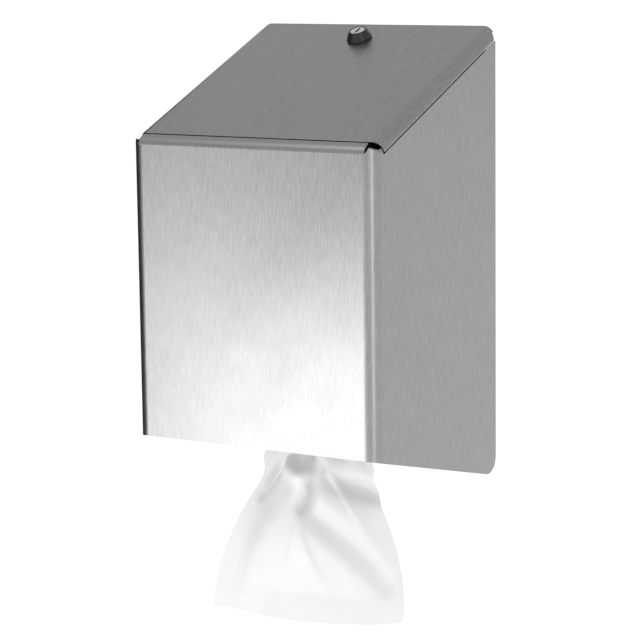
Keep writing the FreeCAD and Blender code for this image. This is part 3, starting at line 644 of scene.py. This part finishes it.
@dataclass
class Towel:
    """The towel's free end: gathered in the roll and the throat, and opening like a bell below the cabinet."""

    web: float = 203 * MM
    rope: float = 13.5 * MM
    end_half: float = 101 * MM
    end_shift: float = -16 * MM
    puff: float = 17 * MM
    thickness: float = 0.45 * MM
    columns: int = 92
    rows: int = 116
    frames: int = 16
    most_move: float = 2 * MM
    end_drop: float = 5 * MM
    end_sag: float = 12 * MM
    end_rise: float = 28 * MM
    creases: list = field(default_factory=lambda: [
        Crease((0.009, -0.214), (-0.007, -0.246), 0.015, 0.006),
        Crease((-0.007, -0.246), (0.065, -0.309), 0.014, 0.010),
        Crease((0.020, -0.224), (0.060, -0.233), 0.011, 0.008),
        Crease((-0.034, -0.208), (-0.062, -0.246), 0.011, 0.005),
        Crease((-0.030, -0.216), (0.004, -0.222), -0.009, 0.008),
        Crease((-0.050, -0.270), (-0.078, -0.335), -0.008, 0.014),
    ])

    def __post_init__(self) -> None:
        """Read the heights of the top of the rope, of the throat's mouth and of the free end, once."""
        low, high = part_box("towel_tail")
        self.top, self.mouth, self.end = high.z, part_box("feed_nozzle")[0].z, low.z

    def place(self, share: float, height: float) -> Vector:
        """Where a point of the flat web hangs.

        Args:
            share: its place across the web, from 0 to 1.
            height: its height.

        Returns:
            The point in the row frame.
        """
        opened = max(0.0, (self.mouth - height) / (self.mouth - self.end))
        swell = self.puff * math.exp(-((opened - 0.15) / 0.09) ** 2)
        half = self.rope + (self.end_half - self.rope) * (1 - (1 - opened) ** 2) + swell * (opened > 0)
        shift = self.end_shift * opened ** 1.6
        side = 2 * share - 1
        x = half * side
        tight = math.sqrt(max(0.0, 1 - side * side)) * self.rope
        pleat = math.sin(2 * math.pi * 4.2 * share + 0.6)
        fade = math.exp(-opened / 0.07)
        bell = -0.020 * math.sin(math.pi * min(1.0, opened * 1.15)) * (math.cos(math.pi * side) * 0.5 + 0.5)
        wave = 0.0035 * opened * math.sin(2 * math.pi * 1.6 * share + 1.1)
        y = tight * pleat * fade * 0.95 + bell + wave
        if height < self.mouth:
            y += sum(crease.at(x + shift, height) for crease in self.creases) * min(1.0, opened / 0.12)
        twist = max(0.0, height - self.mouth) * 9.0
        c, s = math.cos(twist), math.sin(twist)
        return Vector((x * c - y * s + shift, CENTRE_Y + x * s + y * c, height))

    def hang(self) -> bpy.types.Object:
        """The web as a grid, each vertex placed where it hangs, with a UV map across and along the web."""
        bpy.ops.mesh.primitive_grid_add(x_subdivisions=self.columns, y_subdivisions=self.rows, size=1)
        piece = bpy.context.active_object
        piece.name = "towel"
        for vertex in piece.data.vertices:
            share, down = vertex.co.x + 0.5, 0.5 - vertex.co.y
            edge = 0.0025 * math.sin(2 * math.pi * 0.9 * share + 0.4)
            edge += self.end_rise * share ** 2 - self.end_sag * share - self.end_drop
            edge *= max(0.0, down - 0.6) / 0.4
            vertex.co = self.place(share, self.top + (self.end - self.top) * down + edge)
        return piece

    def relax(self, piece: bpy.types.Object) -> None:
        """Let the hung web settle by cloth simulation, each point held within a short way of where it was."""
        before = [vertex.co.copy() for vertex in piece.data.vertices]
        held = piece.vertex_groups.new(name="held")
        held.add([v.index for v in piece.data.vertices if v.co.z > self.mouth - 6 * MM], 1.0, "REPLACE")
        cloth = only(piece).modifiers.new("cloth", "CLOTH")
        cloth.settings.quality = 6
        cloth.settings.mass = 0.04
        cloth.settings.tension_stiffness = 25
        cloth.settings.compression_stiffness = 25
        cloth.settings.shear_stiffness = 10
        cloth.settings.bending_stiffness = 2.5
        cloth.settings.vertex_group_mass = held.name
        cloth.settings.effector_weights.gravity = 0.6
        cloth.collision_settings.use_collision = False
        cloth.point_cache.frame_start, cloth.point_cache.frame_end = 1, self.frames
        for step in range(1, self.frames + 1):
            bpy.context.scene.frame_set(step)
        bpy.ops.object.modifier_apply(modifier=cloth.name)
        bpy.context.scene.frame_set(1)
        for vertex, start in zip(piece.data.vertices, before):
            moved = vertex.co - start
            if moved.length > self.most_move:
                vertex.co = start + moved.normalized() * self.most_move

    def build(self) -> None:
        piece = self.hang()
        self.relax(piece)
        modified(piece, "SOLIDIFY", thickness=self.thickness, offset=0)
        modified(piece, "SUBSURF", levels=1, render_levels=1)
        only(piece)
        bpy.ops.object.shade_smooth()
        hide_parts("towel_tail")
        length = self.top - self.end
        dress(piece, CrepePaper("crepe_paper", web=self.web, length=length).make(), "towel")


# ---- studio ---------------------------------------------------------------------------------------------


@dataclass(frozen=True)
class Softbox:
    """A rectangular light that the camera doesn't see; brightness is what a white sky of that value would be."""

    name: str
    place: tuple
    aim: tuple
    size: tuple
    brightness: float

    def build(self) -> None:
        """Add the light."""
        bpy.ops.object.light_add(type="AREA", location=self.place)
        lamp = bpy.context.active_object
        lamp.name = self.name
        lamp.data.shape = "RECTANGLE"
        lamp.data.size, lamp.data.size_y = self.size
        lamp.data.energy = self.brightness * math.pi * self.size[0] * self.size[1]
        lamp.rotation_mode = "QUATERNION"
        lamp.rotation_quaternion = (Vector(self.aim) - Vector(self.place)).to_track_quat("-Z", "Y")
        lamp.visible_camera = False


@dataclass
class Studio:
    """Floor, sky, lights and camera."""

    floor_drop: float = 1.3
    azimuth: float = math.radians(31.84)
    elevation: float = math.radians(9.21)
    roll: float = math.radians(0.73)
    distance: float = 2.056
    lens: float = 135.8
    sky: float = 0.62

    def floor(self) -> None:
        """A plain pale floor, well below the mounted object."""
        bpy.ops.mesh.primitive_plane_add(size=120, location=(0, 0, CAD_BOX[0].z - self.floor_drop))
        ground = bpy.context.active_object
        ground.name = "floor"
        bench = Bench("pale_floor")
        bench.shade(Base_Color=(0.9, 0.9, 0.9, 1), Roughness=0.9, Emission_Color=(1, 1, 1, 1))
        bench.shader.inputs["Emission Strength"].default_value = 0.5
        ground.data.materials.append(bench.material)

    def flag(self) -> None:
        """A black card on the left, unseen by the camera, that darkens the left bend."""
        bpy.ops.mesh.primitive_plane_add(size=1, location=(-0.62, -0.1, -0.05), rotation=(0, math.pi / 2, 0))
        card = bpy.context.active_object
        card.name = "black_card"
        bench = Bench("card_black")
        bench.shade(Base_Color=(0.004, 0.004, 0.004, 1), Roughness=1.0)
        card.data.materials.append(bench.material)
        card.visible_camera = card.visible_diffuse = card.visible_shadow = False

    def world(self) -> None:
        """An even pale sky."""
        sky = bpy.data.worlds.new("sky")
        sky.use_nodes = True
        sky.node_tree.nodes["Background"].inputs["Color"].default_value = (1, 1, 1, 1)
        sky.node_tree.nodes["Background"].inputs["Strength"].default_value = self.sky
        bpy.context.scene.world = sky

    def camera(self) -> None:
        """The camera, aimed at the middle of the cabinet and towel."""
        aim = Vector((0.0027, CENTRE_Y, -0.0877))
        level = math.cos(self.elevation)
        back = Vector((math.sin(self.azimuth) * level, -math.cos(self.azimuth) * level, math.sin(self.elevation)))
        right = Vector((0, 0, 1)).cross(back).normalized()
        up = back.cross(right)
        c, s = math.cos(self.roll), math.sin(self.roll)
        columns = (right * c - up * s, up * c + right * s, back)
        turn = Matrix([[column[row] for column in columns] for row in range(3)])
        bpy.ops.object.camera_add()
        camera = bpy.context.active_object
        camera.matrix_world = Matrix.Translation(aim + back * self.distance) @ turn.to_4x4()
        camera.data.lens, camera.data.sensor_width = self.lens, 36
        bpy.context.scene.camera = camera

    def build(self) -> None:
        """Set the whole studio up."""
        bpy.context.scene.view_settings.view_transform = "Standard"
        self.floor()
        self.flag()
        self.world()
        self.camera()
        middle = (0, CENTRE_Y, -0.05)
        for box in (Softbox("low_front", (-0.28, -0.85, -0.34), (0.06, -0.2, -0.12), (0.5, 0.34), 3.3),
                    Softbox("right_strip", (1.25, -0.95, 0.1), middle, (0.22, 1.3), 2.6),
                    Softbox("overhead", (-0.3, -1.2, 1.9), middle, (1.4, 1.4), 1.6)):
            box.build()


def main() -> None:
    """Build the dispenser and its studio, in order."""
    logging.basicConfig(level=logging.INFO, format="%(name)s: %(message)s")
    Studio().build()
    for assembly in (Cabinet(), LidAndHinge(), CamLock(), Feed(), Roll(), Towel()):
        assembly.build()


if __name__ == "__main__":
    main()
